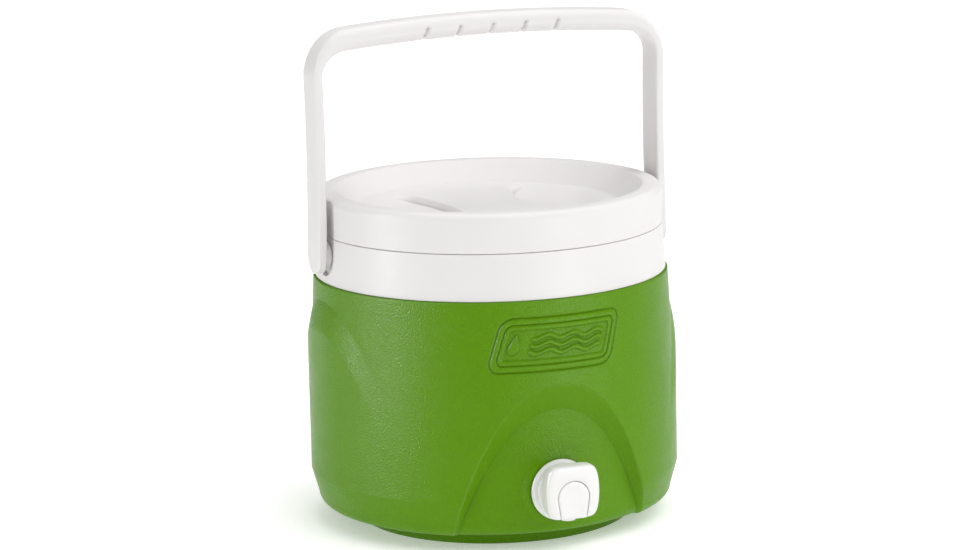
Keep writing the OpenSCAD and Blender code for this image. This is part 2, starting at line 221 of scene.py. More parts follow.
# ---------------------------------------------------------------- materials
def new_material(name):
    """A new material with its node tree and its main shader."""
    material = bpy.data.materials.new(name)
    material.use_nodes = True
    tree = material.node_tree
    return material, tree, tree.nodes["Principled BSDF"]


def add_node(tree, kind, **values):
    """A node of this kind, with its inputs or its settings set by name."""
    node = tree.nodes.new(kind)
    for key, value in values.items():
        if key in node.inputs:
            node.inputs[key].default_value = value
        else:
            setattr(node, key, value)
    return node


def moulded_plastic(name, colour, deep, roughness, grain=0.0, grain_size=900.0, gloss_level=0.5, paint_shading=False):
    """Injection-moulded plastic: faint flow tone, handling marks in the gloss, and a pebble grain.

    When its last argument is true, shade is painted into the hollows, and the edges are paled as rubbed wear
    and a painted highlight; both need an even mesh.
    """
    material, tree, shader = new_material(name)
    link = tree.links.new
    coord = add_node(tree, "ShaderNodeTexCoord")

    tone = add_node(tree, "ShaderNodeTexNoise", Scale=9.0, Detail=3.0, Roughness=0.55)
    link(coord.outputs["Object"], tone.inputs["Vector"])
    mix = add_node(tree, "ShaderNodeMixRGB")
    mix.inputs["Color1"].default_value = (*deep, 1)
    mix.inputs["Color2"].default_value = (*colour, 1)
    spread = add_node(tree, "ShaderNodeMapRange")
    spread.inputs["From Min"].default_value = 0.3
    spread.inputs["From Max"].default_value = 0.62
    link(tone.outputs["Fac"], spread.inputs["Value"])
    link(spread.outputs["Result"], mix.inputs["Fac"])
    base = mix.outputs["Color"]

    marks = add_node(tree, "ShaderNodeTexNoise", Scale=38.0, Detail=6.0, Roughness=0.65)
    link(coord.outputs["Object"], marks.inputs["Vector"])
    gloss = add_node(tree, "ShaderNodeMapRange")
    gloss.inputs["From Min"].default_value = 0.35
    gloss.inputs["From Max"].default_value = 0.7
    gloss.inputs["To Min"].default_value = roughness - 0.05
    gloss.inputs["To Max"].default_value = roughness + 0.05
    link(marks.outputs["Fac"], gloss.inputs["Value"])
    link(gloss.outputs["Result"], shader.inputs["Roughness"])

    fine = add_node(tree, "ShaderNodeTexNoise", Scale=grain_size * 2.4, Detail=2.0, Roughness=0.5)
    link(coord.outputs["Object"], fine.inputs["Vector"])
    skin = add_node(tree, "ShaderNodeBump", Strength=0.12, Distance=0.00008)
    link(fine.outputs["Fac"], skin.inputs["Height"])
    normal = skin.outputs["Normal"]
    if grain:
        pebbles = add_node(tree, "ShaderNodeTexVoronoi", Scale=grain_size, Randomness=1.0)
        pebbles.feature = "SMOOTH_F1"
        pebbles.inputs["Smoothness"].default_value = 0.6
        link(coord.outputs["Object"], pebbles.inputs["Vector"])
        hide = add_node(tree, "ShaderNodeTexNoise", Scale=grain_size * 1.1, Detail=2.0, Roughness=0.5)
        link(coord.outputs["Object"], hide.inputs["Vector"])
        height = add_node(tree, "ShaderNodeMath", operation="ADD")
        link(pebbles.outputs["Distance"], height.inputs[0])
        link(hide.outputs["Fac"], height.inputs[1])
        bump = add_node(tree, "ShaderNodeBump", Strength=grain, Distance=0.0003)
        bump.invert = True
        link(height.outputs["Value"], bump.inputs["Height"])
        link(normal, bump.inputs["Normal"])
        normal = bump.outputs["Normal"]

        speck = add_node(tree, "ShaderNodeMapRange")
        speck.inputs["From Min"].default_value = 0.25
        speck.inputs["From Max"].default_value = 0.75
        speck.inputs["To Min"].default_value = 0.93
        speck.inputs["To Max"].default_value = 1.05
        link(hide.outputs["Fac"], speck.inputs["Value"])
        grainy = add_node(tree, "ShaderNodeMixRGB", blend_type="MULTIPLY")
        grainy.inputs["Fac"].default_value = 1.0
        link(base, grainy.inputs["Color1"])
        link(speck.outputs["Result"], grainy.inputs["Color2"])
        base = grainy.outputs["Color"]
    link(normal, shader.inputs["Normal"])
    shader.inputs["IOR"].default_value = 1.49
    shader.inputs["Specular IOR Level"].default_value = gloss_level
    # Painted shade in the hollows and painted highlights on the edges.
    if paint_shading:
        base = paint_hollow_shade_and_edge_highlight(tree, base, colour)
    link(base, shader.inputs["Base Color"])
    return material


def paint_hollow_shade_and_edge_highlight(tree, base, colour):
    """Painted shade in the hollows, and pale edges that are rubbed wear and a painted highlight, from the
    mesh's curvature.
    """
    link = tree.links.new
    shape = add_node(tree, "ShaderNodeNewGeometry")
    # Concave places are darkened: painted shade in the hollows.
    hollow_shade = add_node(tree, "ShaderNodeMapRange")
    hollow_shade.inputs["From Min"].default_value = 0.44
    hollow_shade.inputs["From Max"].default_value = 0.495
    hollow_shade.inputs["To Min"].default_value = 0.6
    link(shape.outputs["Pointiness"], hollow_shade.inputs["Value"])
    shaded_base = add_node(tree, "ShaderNodeMixRGB", blend_type="MULTIPLY")
    shaded_base.inputs["Fac"].default_value = 1.0
    link(base, shaded_base.inputs["Color1"])
    link(hollow_shade.outputs["Result"], shaded_base.inputs["Color2"])
    base = shaded_base.outputs["Color"]
    # Convex edges are paled: a painted highlight, with some rubbed wear.
    edge = add_node(tree, "ShaderNodeMapRange")
    edge.inputs["From Min"].default_value = 0.51
    edge.inputs["From Max"].default_value = 0.58
    edge.inputs["To Max"].default_value = 0.3
    link(shape.outputs["Pointiness"], edge.inputs["Value"])
    lift = add_node(tree, "ShaderNodeMixRGB")
    pale = tuple(min(1.0, c + 0.12) for c in colour)
    lift.inputs["Color2"].default_value = (*pale, 1)
    link(base, lift.inputs["Color1"])
    link(edge.outputs["Result"], lift.inputs["Fac"])
    return lift.outputs["Color"]


def foam_material():
    """Poured foam: open cells of uneven size under a pale yellow skin."""
    material, tree, shader = new_material("poured_foam")
    link = tree.links.new
    coord = add_node(tree, "ShaderNodeTexCoord")
    cells = add_node(tree, "ShaderNodeTexVoronoi", Scale=420.0)
    tone = add_node(tree, "ShaderNodeTexNoise", Scale=14.0, Detail=5.0)
    link(coord.outputs["Object"], cells.inputs["Vector"])
    link(coord.outputs["Object"], tone.inputs["Vector"])
    mix = add_node(tree, "ShaderNodeMixRGB")
    mix.inputs["Color1"].default_value = (0.78, 0.64, 0.30, 1)
    mix.inputs["Color2"].default_value = (0.88, 0.78, 0.46, 1)
    link(tone.outputs["Fac"], mix.inputs["Fac"])
    link(mix.outputs["Color"], shader.inputs["Base Color"])
    bump = add_node(tree, "ShaderNodeBump", Strength=0.6, Distance=0.0008)
    link(cells.outputs["Distance"], bump.inputs["Height"])
    link(bump.outputs["Normal"], shader.inputs["Normal"])
    shader.inputs["Roughness"].default_value = 0.92
    return material


def rubber_material(name, colour):
    """Soft seal rubber with a dusty bloom."""
    material, tree, shader = new_material(name)
    link = tree.links.new
    coord = add_node(tree, "ShaderNodeTexCoord")
    bloom = add_node(tree, "ShaderNodeTexNoise", Scale=160.0, Detail=5.0, Roughness=0.7)
    link(coord.outputs["Object"], bloom.inputs["Vector"])
    mix = add_node(tree, "ShaderNodeMixRGB")
    mix.inputs["Color1"].default_value = (*colour, 1)
    mix.inputs["Color2"].default_value = (*[min(1, c * 1.25 + 0.02) for c in colour], 1)
    link(bloom.outputs["Fac"], mix.inputs["Fac"])
    link(mix.outputs["Color"], shader.inputs["Base Color"])
    bump = add_node(tree, "ShaderNodeBump", Strength=0.2, Distance=0.0001)
    link(bloom.outputs["Fac"], bump.inputs["Height"])
    link(bump.outputs["Normal"], shader.inputs["Normal"])
    shader.inputs["Roughness"].default_value = 0.62
    return material


def steel_material():
    """Drawn spring wire with fine lines along the draw."""
    material, tree, shader = new_material("drawn_steel")
    link = tree.links.new
    coord = add_node(tree, "ShaderNodeTexCoord")
    lines = add_node(tree, "ShaderNodeTexNoise", Scale=900.0, Detail=4.0, Roughness=0.7)
    link(coord.outputs["Object"], lines.inputs["Vector"])
    rough = add_node(tree, "ShaderNodeMapRange")
    rough.inputs["To Min"].default_value = 0.22
    rough.inputs["To Max"].default_value = 0.45
    link(lines.outputs["Fac"], rough.inputs["Value"])
    link(rough.outputs["Result"], shader.inputs["Roughness"])
    mix = add_node(tree, "ShaderNodeMixRGB")
    mix.inputs["Color1"].default_value = (0.46, 0.46, 0.48, 1)
    mix.inputs["Color2"].default_value = (0.66, 0.66, 0.68, 1)
    link(lines.outputs["Fac"], mix.inputs["Fac"])
    link(mix.outputs["Color"], shader.inputs["Base Color"])
    shader.inputs["Metallic"].default_value = 1.0
    return material


green, green_deep = (0.098, 0.250, 0.0), (0.095, 0.244, 0.0)
white, white_deep = (0.75, 0.735, 0.725), (0.725, 0.71, 0.70)
# The green body, the white collar and lid, and the handle get painted shade in their hollows and painted
# highlights on their edges.
GREEN = moulded_plastic("green_pebbled_plastic", green, green_deep, 0.34, 1.0, 880.0, 0.12, True)
GREEN_SMOOTH = moulded_plastic("green_plug_plastic", green, (0.093, 0.240, 0.0), 0.36)
WHITE = moulded_plastic("white_moulded_plastic", white, white_deep, 0.44, gloss_level=0.1, paint_shading=True)
HANDLE_WHITE = moulded_plastic("white_handle_plastic", white, white_deep, 0.44, gloss_level=0.1, paint_shading=True)
TAP_WHITE = moulded_plastic("white_tap_plastic", (0.76, 0.75, 0.74), (0.735, 0.725, 0.715), 0.33)
LINER_WHITE = moulded_plastic("white_liner_plastic", (0.80, 0.80, 0.78), (0.79, 0.79, 0.765), 0.4)
FOAM = foam_material()
GREY_RUBBER = rubber_material("grey_seal_rubber", (0.36, 0.37, 0.38))
BLACK_RUBBER = rubber_material("black_seal_rubber", (0.02, 0.02, 0.022))
STEEL = steel_material()

NODE_MATERIALS = {
    "insulation_foam": FOAM,
    "lid_foam": FOAM,
    "foam_plug": GREEN_SMOOTH,
    "inner_liner": LINER_WHITE,
    "lid_liner": LINER_WHITE,
    "lid_gasket": GREY_RUBBER,
    "tap_washer_outer": GREY_RUBBER,
    "tap_washer_inner": GREY_RUBBER,
    "tap_nut": TAP_WHITE,
    "tap_spider": TAP_WHITE,
    "tap_stem": TAP_WHITE,
    "stem_o_ring": BLACK_RUBBER,
    "tap_seal": BLACK_RUBBER,
    "tap_clip": STEEL,
    "tap_spring": STEEL,
}
for node_name, node_material in NODE_MATERIALS.items():
    node_mesh = frame["nodes"][node_name].data
    node_mesh.materials.clear()
    node_mesh.materials.append(node_material)


# ---------------------------------------------------------------- body
def main_wall(z):
    """Radius of the plain wall, from the lower corner up to the top edge."""
    low = CORNER[0] + CORNER_R
    flare = low + (BODY_R - low) * (z - CORNER[1]) / (WAIST_Z - CORNER[1])
    taper = BODY_R - (BODY_R - BODY_TOP_R) * (z - TAPER_Z) / (BODY_TOP - TAPER_Z)
    wall = round_min(flare, BODY_R + 0 * z, 1.2)
    return round_min(wall, taper, 0.8)


def arch(off, crown, half, power):
    """Height of an arch's edge at an angle off its crown."""
    return crown - ARCH_FALL * (np.abs(off) / half) ** power


def emblem_relief(theta, z):
    """Height of the front emblem: a leaning double frame round a field with a drop and ripples."""
    v = z - EMBLEM_Z
    u = np.radians(theta) * EMBLEM_R - EMBLEM_LEAN * v

    def inside(half_u, half_v, corner):
        """Distance inside a rounded box, negative outside it."""
        du = np.abs(u) - (half_u - corner)
        dv = np.abs(v) - (half_v - corner)
        out = np.hypot(np.maximum(du, 0), np.maximum(dv, 0)) + np.minimum(np.maximum(du, dv), 0)
        return corner - out

    def line(distance, width):
        return smooth01(1 - np.abs(distance) / width)

    edge = inside(EMBLEM_HALF[0], EMBLEM_HALF[1], 9.0)
    inner = inside(EMBLEM_HALF[0] - 4.6, EMBLEM_HALF[1] - 4.6, 5.5)
    field = inside(EMBLEM_HALF[0] - 8.0, EMBLEM_HALF[1] - 8.0, 3.0)
    relief = -0.85 * line(edge, 1.3)
    relief += 0.5 * ramp((edge - 0.9) / 1.2) * (1 - ramp((inner + 0.6) / 1.0))
    relief += -0.6 * line(inner - 0.2, 1.1)
    relief += 0.35 * ramp((inner - 0.9) / 1.0) * (1 - ramp((field + 0.5) / 1.0))
    relief += -0.75 * ramp((field - 0.1) / 0.9)

    wave_span = 29.0
    fade = ramp((wave_span - np.abs(u - 7.0)) / 2.0)
    for k in (-1, 0, 1):
        crest = 1.5 * np.sin(2 * math.pi * (u - 7.0) / 19.3 + 0.6 * k)
        relief += 1.5 * fade * smooth01(1.25 - np.abs(v - 5.2 * k - crest) / 1.5)
    drop_u, drop_v = u + 33.0, v + 1.0
    tip = np.clip((drop_v + 1.0) / 9.5, 0, 1)
    drop_r = np.hypot(drop_u / (1 - 0.93 * tip ** 1.35), np.where(drop_v < -1, drop_v + 1, 0))
    drop = 4.6 - np.where(drop_v > 8.5, 99.0, drop_r)
    relief += 1.7 * ramp(drop / 1.3)
    return np.where(edge > -2.0, relief, 0.0)


def body_radius(theta, z, base):
    """Radius of the body's outside, with its arches and emblem, where the plain profile has radius base."""
    side = np.abs((theta + 180) % 180 - 90)
    top = arch(side, 172.0, 36.6, 2.36)
    bottom = arch(side, 151.0, 35.2, 2.4)
    raised = ramp((top - z) / np.maximum(top - bottom, 4.0), 0.05, 0.05)
    radius = base + np.maximum(BODY_R - base, 0) * raised * (z > WAIST_Z)

    top = arch(theta, 122.6, 30.3, 2.42)
    bottom = arch(theta, 104.3, 31.5, 2.166)
    sunk = ramp((top - z) / np.maximum(top - bottom, 6.0), 0.1, 0.02)
    floor_r = RECESS_R - 1.0 * smooth01((z - 62.0) / 44.0)
    depth = np.where(z > CORNER[1], base - floor_r, CORNER[0] + CORNER_R - floor_r)
    reach = np.clip((base - FOOT_TOP_R) / (CORNER[0] - FOOT_TOP_R), 0, 1)
    radius = radius - depth * sunk * reach
    return radius + emblem_relief(theta, z)


def tap_pad(theta, radius, z):
    """Flat round pad that the tap's flange is clamped to."""
    a = np.radians(theta)
    x, y = radius * np.sin(a), radius * np.cos(a)
    near = np.abs(theta) < 30
    pad = ramp((PAD_R - np.hypot(x, z - TAP_Z)) / 4.4, 0.3) * near
    return radius + (PAD_Y - y) * pad / np.cos(np.where(near, a, 0))


def make_body():
    """The green shell: one closed skin, from the foot up the outside, over the neck and down inside."""
    front = np.arange(-24.0, 24.0, 0.23)
    near = np.arange(24.0, 37.0, 0.33)
    far = np.linspace(37.0, 323.0, 440)
    theta = np.concatenate([front, near, far[:-1], 360 - near[:0:-1]])
    theta = np.where(theta > 180, theta - 360, theta)

    high = BODY_TOP
    wall_z = np.concatenate([
        np.linspace(CORNER[1], 132.0, 150)[1:],
        np.linspace(132.0, 175.5, 84)[1:],
        np.linspace(175.5, high - 1.2, 8)[1:],
    ])
    foot_high = UNDER_Z - 1.5
    foot_in = FOOT_R - FOOT_W
    foot = outline([(FOOT_TOP_R - 0.1, foot_high), (FOOT_R, 1.2), (FOOT_R - 0.35, 0.35),
                    (FOOT_R - 1.2, 0.0), (foot_in + 1.0, 0.0), (foot_in, 1.0),
                    (foot_in - 0.8, UNDER_Z)], 2.5)
    under = outline([(FOOT_TOP_R, foot_high), (FOOT_TOP_R + 1.5, UNDER_Z), (CORNER[0], UNDER_Z)], 4.0)
    outside = np.concatenate([
        arc_points(CORNER, CORNER_R, -90, 0, 11),
        np.stack([main_wall(wall_z), wall_z], -1),
    ])
    rim_r = main_wall(np.array([high - 1.2]))[0]
    rim = arc_points((rim_r - 1.2, high - 1.2), 1.2, 0, 90, 5)[1:]

    hole_r = PLUG_R + 0.05
    inside_low = outline([(CORNER[0] - 3, UNDER_Z + WALL), (hole_r, UNDER_Z + WALL),
                          (hole_r, UNDER_Z), (foot_in - 0.8, UNDER_Z)], 12.0)
    neck = outline([(NECK_OUT + 0.6, high), (NECK_OUT, high + 0.6), (NECK_OUT, NECK_TOP),
                    (NECK_IN, NECK_TOP), (NECK_IN, high - WALL), (NECK_IN + 8, high - WALL)], 14.0)
    inside_z = np.linspace(CORNER[1] + 2, high - WALL, 40)
    inside = np.stack([main_wall(inside_z) - WALL, inside_z], -1)

    rows = [round_points(theta, r, z) for r, z in under[:-1]]
    for r, z in outside:
        radius = body_radius(theta, z, r)
        rows.append(round_points(theta, tap_pad(theta, radius, z), z))
    for r, z in rim:
        rows.append(round_points(theta, r + emblem_relief(theta, z), z))
    rows += [round_points(theta, r, z) for r, z in neck]
    for r, z in inside[::-1]:
        outer = body_radius(theta, z, r + WALL)
        rows.append(round_points(theta, np.minimum(outer, tap_pad(theta, outer, z)) - WALL, z))
    rows += [round_points(theta, r, z) for r, z in inside_low]
    rows += [round_points(theta, r, z) for r, z in foot[::-1]]
    rows = np.array(rows)
    faces = grid_faces(len(rows), len(theta), loop=True)
    points = rows.reshape(-1, 3)
    add_mesh("body_shell", points, faces, GREEN, "body", "outer_shell", 45.0)


# ---------------------------------------------------------------- collar and lid
def pocket_columns(step):
    """Angles round the collar and lid, with close pairs at the edges of the flats behind the arms."""
    edge = math.degrees(math.asin(FLAT_HALF / LID_R))
    across = [edge - 1.1, edge - 0.45, edge - 0.15, edge + 0.05, edge + 0.3, edge + 0.9]
    plain = np.linspace(edge + 1.8, 90, int(85 / step))
    quarter = np.concatenate([np.linspace(0, edge - 1.5, 19), across, plain])
    half = np.concatenate([quarter, 180 - quarter[::-1][1:]])
    return np.concatenate([half + 90, half[1:-1] - 90])


def with_flat(theta, radius, z):
    """Radius cut back to the flats on +X and -X, which end in a half round below the handle's pivot."""
    drop = max(PIVOT_Z - z, 0.0)
    if drop >= FLAT_HALF:
        return radius + 0 * theta
    half = math.sqrt(FLAT_HALF ** 2 - drop ** 2)
    off = np.abs((theta + 180) % 180 - 90)
    edge = math.degrees(math.asin(half / LID_R))
    flat = FLAT_X / np.cos(np.radians(off))
    cut = np.minimum(radius, flat)
    depth = ramp((edge + 0.02 - off) / 0.5, 0.3)
    return radius + (cut - radius) * depth


def make_collar():
    """The white ring under the lid, leaning in by 2 mm over its height."""
    theta = pocket_columns(1.0)
    low = BODY_TOP + 0.2
    top_r = COLLAR_TOP_R
    edge = 0.9
    lean = math.degrees(math.atan2(COLLAR_LOW_R - top_r, SEAM_Z - low))
    foot_z = PIVOT_Z - FLAT_HALF * np.cos(np.radians(np.linspace(2, 78, 20)))
    run = (foot_z - low) / (SEAM_Z - low)
    outer = np.concatenate([
        arc_points((COLLAR_LOW_R - 0.5, low + 0.5), 0.5, -90, 0, 4),
        outline([(COLLAR_LOW_R, low + 0.6), (COLLAR_LOW_R - 0.25, foot_z[0] - 0.3)], 3.0),
        np.stack([COLLAR_LOW_R + (top_r - COLLAR_LOW_R) * run, foot_z], -1),
        outline([(top_r + 0.9, foot_z[-1] + 1.0), (top_r, SEAM_Z - edge)], 3.0),
        arc_points((top_r - edge, SEAM_Z - edge), edge, lean, 90, 5),
    ])
    inner = outline([(116.0, SEAM_Z), (116.0, SEAM_Z - 2.8), (top_r - 3, SEAM_Z - 2.8),
                     (COLLAR_LOW_R - 3, low), (COLLAR_LOW_R - 0.5, low)], 6.0)[:-1]
    rows = [round_points(theta, with_flat(theta, r + 0 * theta, z), z) for r, z in outer]
    for r, z in inner:
        radius = np.minimum(r, with_flat(theta, COLLAR_LOW_R + 0 * theta, z) - 1.8)
        rows.append(round_points(theta, radius, z))
    faces = grid_faces(len(rows), len(theta), loop=True)
    add_mesh("collar_ring", np.concatenate(rows), faces, WHITE, "body", "collar")


def well_depth(x, y):
    """Depth of the two finger wells in the dish's floor."""
    side = np.abs(x)
    to_bar = side - 28.5 - 0.003 * y * y
    to_rim = 90.0 - np.hypot(x, y)
    to_end = 67.0 - np.abs(y)
    near = round_min(to_bar, to_end, 16.0)
    return 5.0 * smooth01(near / 4.2 + 0.1) * smooth01(to_rim / 27.0 + 0.05)


def make_lid():
    """The lid's cap: its skirt, its round crown, the dish with the wells, and the skin's underside."""
    theta = pocket_columns(0.8)
    crown_r = 5.0
    gap = 3.0
    skirt_in = LID_R - 3.2
    skirt = np.concatenate([
        arc_points((LID_R - 0.6, LID_LOW + 0.6), 0.6, -90, 0, 4),
        outline([(LID_R, LID_LOW + 1.0), (LID_R, LID_TOP - crown_r)], 3.0),
        arc_points((LID_R - crown_r, LID_TOP - crown_r), crown_r, 0, 90, 9)[1:],
    ])
    slope = 38.0
    crown = arc_points((115.0, LID_TOP - 3.0), 3.0, 90, 90 + slope, 6)
    foot = arc_points((92.4, DISH_Z + 9.0), 9.0, -90 + slope, -90, 7)
    bowl = np.concatenate([crown, outline([crown[-1], foot[0]], 2.0)[1:-1], foot])
    rings = np.concatenate([[91.6, 90.8], np.arange(90.0, 26.0, -0.9), np.arange(25.5, 2.9, -2.5)])
    gate = [(2.4, 0.0), (1.9, 0.25), (1.3, 0.28), (0.7, 0.15)]

    rows = [round_points(theta, with_flat(theta, r + 0 * theta, z), z) for r, z in skirt]
    rows += [round_points(theta, r, z) for r, z in bowl]
    for r in rings:
        points = round_points(theta, r, DISH_Z)
        points[:, 2] -= well_depth(points[:, 0], points[:, 1])
        rows.append(points)
    rows += [round_points(theta, r, DISH_Z + z) for r, z in gate]
    top_count = len(rows)
    under = [(0.7, DISH_Z - gap)]
    under += [(r, DISH_Z - gap) for r in np.arange(4.0, 93.0, 3.0)]
    under += [(98.0, DISH_Z - gap + 1.5), (117.0, LID_TOP - 6.0)]
    under += [(skirt_in, LID_TOP - 6.0), (skirt_in, LID_LOW)]
    for r, z in under:
        points = round_points(theta, np.minimum(r, with_flat(theta, LID_R + 0 * theta, z) - 1.6), z)
        if r < 93:
            points[:, 2] -= well_depth(points[:, 0], points[:, 1])
        rows.append(points)
    points = np.concatenate(rows + [[[0, 0, DISH_Z + 0.1], [0, 0, DISH_Z - gap]]])

    n = len(theta)
    ring = np.arange(n)
    after = (ring + 1) % n
    top_end, low_start, last = (top_count - 1) * n, top_count * n, (len(rows) - 1) * n
    first = grid_faces(top_count, n)
    second = grid_faces(len(rows) - top_count, n) + low_start
    top_cap = np.stack([top_end + ring, top_end + after, 0 * ring + len(points) - 2], -1)
    low_cap = np.stack([low_start + ring, low_start + after, 0 * ring + len(points) - 1], -1)
    rim = np.stack([ring, after, last + after, last + ring], -1)
    faces = [list(f) for part in (first, second, rim, top_cap, low_cap) for f in part]
    add_mesh("lid_cap", points, faces, WHITE, "lid", "lid_shell")


# ---------------------------------------------------------------- handle
def section(half_w, half_t, radius):
    """A rounded bar's section: across the jug's depth by through its thickness."""
    r = min(radius, 0.98 * half_t, 0.98 * half_w)
    turns = ((half_w - r, half_t - r, 0), (r - half_w, half_t - r, 90),
             (r - half_w, r - half_t, 180), (half_w - r, r - half_t, 270))
    corners = [arc_points((x, y), r, start, start + 90, 8) for x, y, start in turns]
    points = []
    for here, after in zip(corners, corners[1:] + corners[:1]):
        points += list(here)
        points += [here[-1] + (after[0] - here[-1]) * k / 5 for k in range(1, 5)]
    return np.array(points)


def make_handle():
    """The bail, swept along its centre line from one arm's foot over the bar to the other's."""
    bend = 27.0
    sag = 5.1
    mid_t, low_t, bar_t = 6.6, 6.8, 15.8
    bar_z = HANDLE_TOP - bar_t / 2

    def bar(x):
        return bar_z - sag * (x / 112.0) ** 2

    # centre line of the right half: the arm from its foot up, the bend, and the bar to its middle
    corner_x = ARM_X - 1.0 - mid_t / 2 - bend + 2.0
    corner_z = bar(corner_x) - bend
    foot_z = np.linspace(PIVOT_Z - ARM_W / 2, PIVOT_Z, 16)
    arm_z = np.concatenate([foot_z, np.linspace(PIVOT_Z, corner_z, 60)[1:]])
    rise = np.clip((arm_z - PIVOT_Z) / (corner_z - PIVOT_Z), 0, 1)
    bow = -1.9 * np.sin(math.pi * np.minimum(rise * 1.25, 1.0) * 0.5) + 1.1 * rise ** 2
    arm_t = low_t + (mid_t - low_t) * smooth01((arm_z - (PIVOT_Z + 28)) / 7.0)
    arm_x = ARM_X + bow - arm_t / 2
    angles = np.radians(np.linspace(0, 88, 15))[1:]
    arc_x = arm_x[-1] - bend + bend * np.cos(angles)
    arc_z = arm_z[-1] + bend * np.sin(angles)
    arc_t = mid_t + (bar_t - mid_t) * smooth01((angles / angles[-1] - 0.1) / 0.9)
    start_x = arc_x[-1]
    bar_x = np.arange(start_x - 2.0, 0.2, -1.15)
    bar_x = np.append(bar_x[:-1], 0.0)
    lift = arc_z[-1] - bar(start_x)
    bar_zs = bar(bar_x) + lift * (bar_x / start_x)
    line_x = np.concatenate([arm_x, arc_x, bar_x])
    line_z = np.concatenate([arm_z, arc_z, bar_zs])
    thick = np.concatenate([arm_t, arc_t, bar_t + 0 * bar_x])
    wide = np.full(len(line_x), ARM_W)
    arm_edge, bar_edge = 1.7, 6.3
    bend_edge = arm_edge + (bar_edge - arm_edge) * smooth01(angles / angles[-1])
    edge = np.concatenate([arm_edge + 0 * arm_t, bend_edge, bar_edge + 0 * bar_x])
    foot = line_z < PIVOT_Z
    wide[foot] = 2 * np.sqrt(np.maximum((ARM_W / 2) ** 2 - (PIVOT_Z - line_z[foot]) ** 2, 0.5))

    # the left half mirrors the right
    line_x = np.concatenate([line_x, -line_x[::-1][1:]])
    line_z, thick, wide, edge = [np.concatenate([v, v[::-1][1:]]) for v in (line_z, thick, wide, edge)]

    tangent = np.stack([np.gradient(line_x), np.gradient(line_z)], -1)
    tangent /= np.linalg.norm(tangent, axis=1)[:, None]
    normal = np.stack([-tangent[:, 1], tangent[:, 0]], -1)
    rows = []
    for i in range(len(line_x)):
        s = section(wide[i] / 2, thick[i] / 2, edge[i])
        x = line_x[i] + normal[i, 0] * s[:, 1]
        z = line_z[i] + normal[i, 1] * s[:, 1]
        rows.append(np.stack([x, s[:, 0], z], -1))
    rows = np.array(rows)
    rows = cut_notches(rows, bar_z)
    rows[:, :, 0] = np.clip(rows[:, :, 0], -ARM_X, ARM_X)
    rows[:, :, 2] = np.minimum(rows[:, :, 2], HANDLE_TOP)
    count, n = rows.shape[:2]
    points = rows.reshape(-1, 3)
    faces = closed_ends(count, n, grid_faces(count, n))
    add_mesh("bail_handle", points, faces, HANDLE_WHITE, "bail", "handle", 50.0)


def cut_notches(rows, bar_z):
    """Slanted grip notches across the crossbar's front lower edge and underside."""
    pitch, half_w, lean = 25.5, 1.15, 0.25
    x, y, z = rows[..., 0], rows[..., 1], rows[..., 2]
    on_bar = np.abs(x) < 70
    centre = np.round(x / pitch) * pitch
    off = x - centre - lean * (z - bar_z + 6.0)
    inside = smooth01(1.6 - np.abs(off) / half_w) * on_bar * (np.abs(centre) < 2.5 * pitch)
    low = smooth01((bar_z + 1.5 - z) / 2.0)
    front = smooth01((6.0 - y) / 4.0)
    depth = 1.5 * inside * low * front
    rows = rows.copy()
    rows[..., 1] += depth * smooth01(-y / 10.0)
    rows[..., 2] += depth * smooth01((bar_z - z) / 6.0)
    return rows


def make_pegs():
    """Boss and peg at the foot of each arm."""
    tip, boss, back = 121.9, FLAT_X + 0.4, ARM_X - 6.0
    profile = outline([(0, tip), (5.2, tip), (6.0, tip + 0.8), (6.0, boss), (9.4, boss),
                       (10.0, boss + 0.6), (10.0, back), (0, back)], 3.0)
    count = 48
    a = np.linspace(0, 2 * math.pi, count, endpoint=False)
    points, faces = [], []
    for sign in (1, -1):
        start = len(points)
        rows = []
        for r, x in profile[1:-1]:
            rows.append(np.stack([sign * (x + 0 * a), r * np.cos(a), PIVOT_Z + r * np.sin(a)], -1))
        points += list(np.concatenate(rows))
        shape = closed_ends(len(rows), count, grid_faces(len(rows), count))
        faces += [[start + k for k in f] for f in shape]
    add_mesh("bail_pegs", np.array(points), faces, HANDLE_WHITE, "bail", None)


# ---------------------------------------------------------------- tap
def block_ring(count, inset, y, blend=0.0, round_r=18.4):
    """A ring of the tap's block: a square with bulging sides, blended towards a circle."""
    a = np.linspace(0, 2 * math.pi, 2400, endpoint=False)
    c, s = np.cos(a), np.sin(a)
    across = np.sign(c) * np.abs(c) ** 0.25 * (BLOCK_HALF[0] - inset)
    outer = np.stack([across, s * (BLOCK_HALF[1] - inset)], -1)
    step = np.linalg.norm(np.roll(outer, -1, 0) - outer, axis=1)
    along = np.concatenate([[0], np.cumsum(step)])
    at = np.linspace(0, along[-1], count, endpoint=False)
    closed = np.concatenate([outer, outer[:1]])
    x = np.interp(at, along, closed[:, 0])
    z = BLOCK_MID + np.interp(at, along, closed[:, 1])
    angle = np.arctan2(z - TAP_Z, x)
    x = x + (round_r * np.cos(angle) - x) * blend
    z = z + (TAP_Z + round_r * np.sin(angle) - z) * blend
    return np.stack([x, 0 * at - y, z], -1)


def circle_ring(count, r, y):
    """A ring of the flange, with its points at the block ring's angles."""
    points = block_ring(count, 0, y)
    angle = np.arctan2(points[:, 2] - TAP_Z, points[:, 0])
    return np.stack([r * np.cos(angle), 0 * angle - y, TAP_Z + r * np.sin(angle)], -1)


def loft(name, rings, material, body, node, sharp=40.0):
    """A closed piece through rings of equal count, capped at both ends."""
    n = len(rings[0])
    faces = closed_ends(len(rings), n, grid_faces(len(rings), n))
    return add_mesh(name, np.concatenate(rings), faces, material, body, node, sharp)


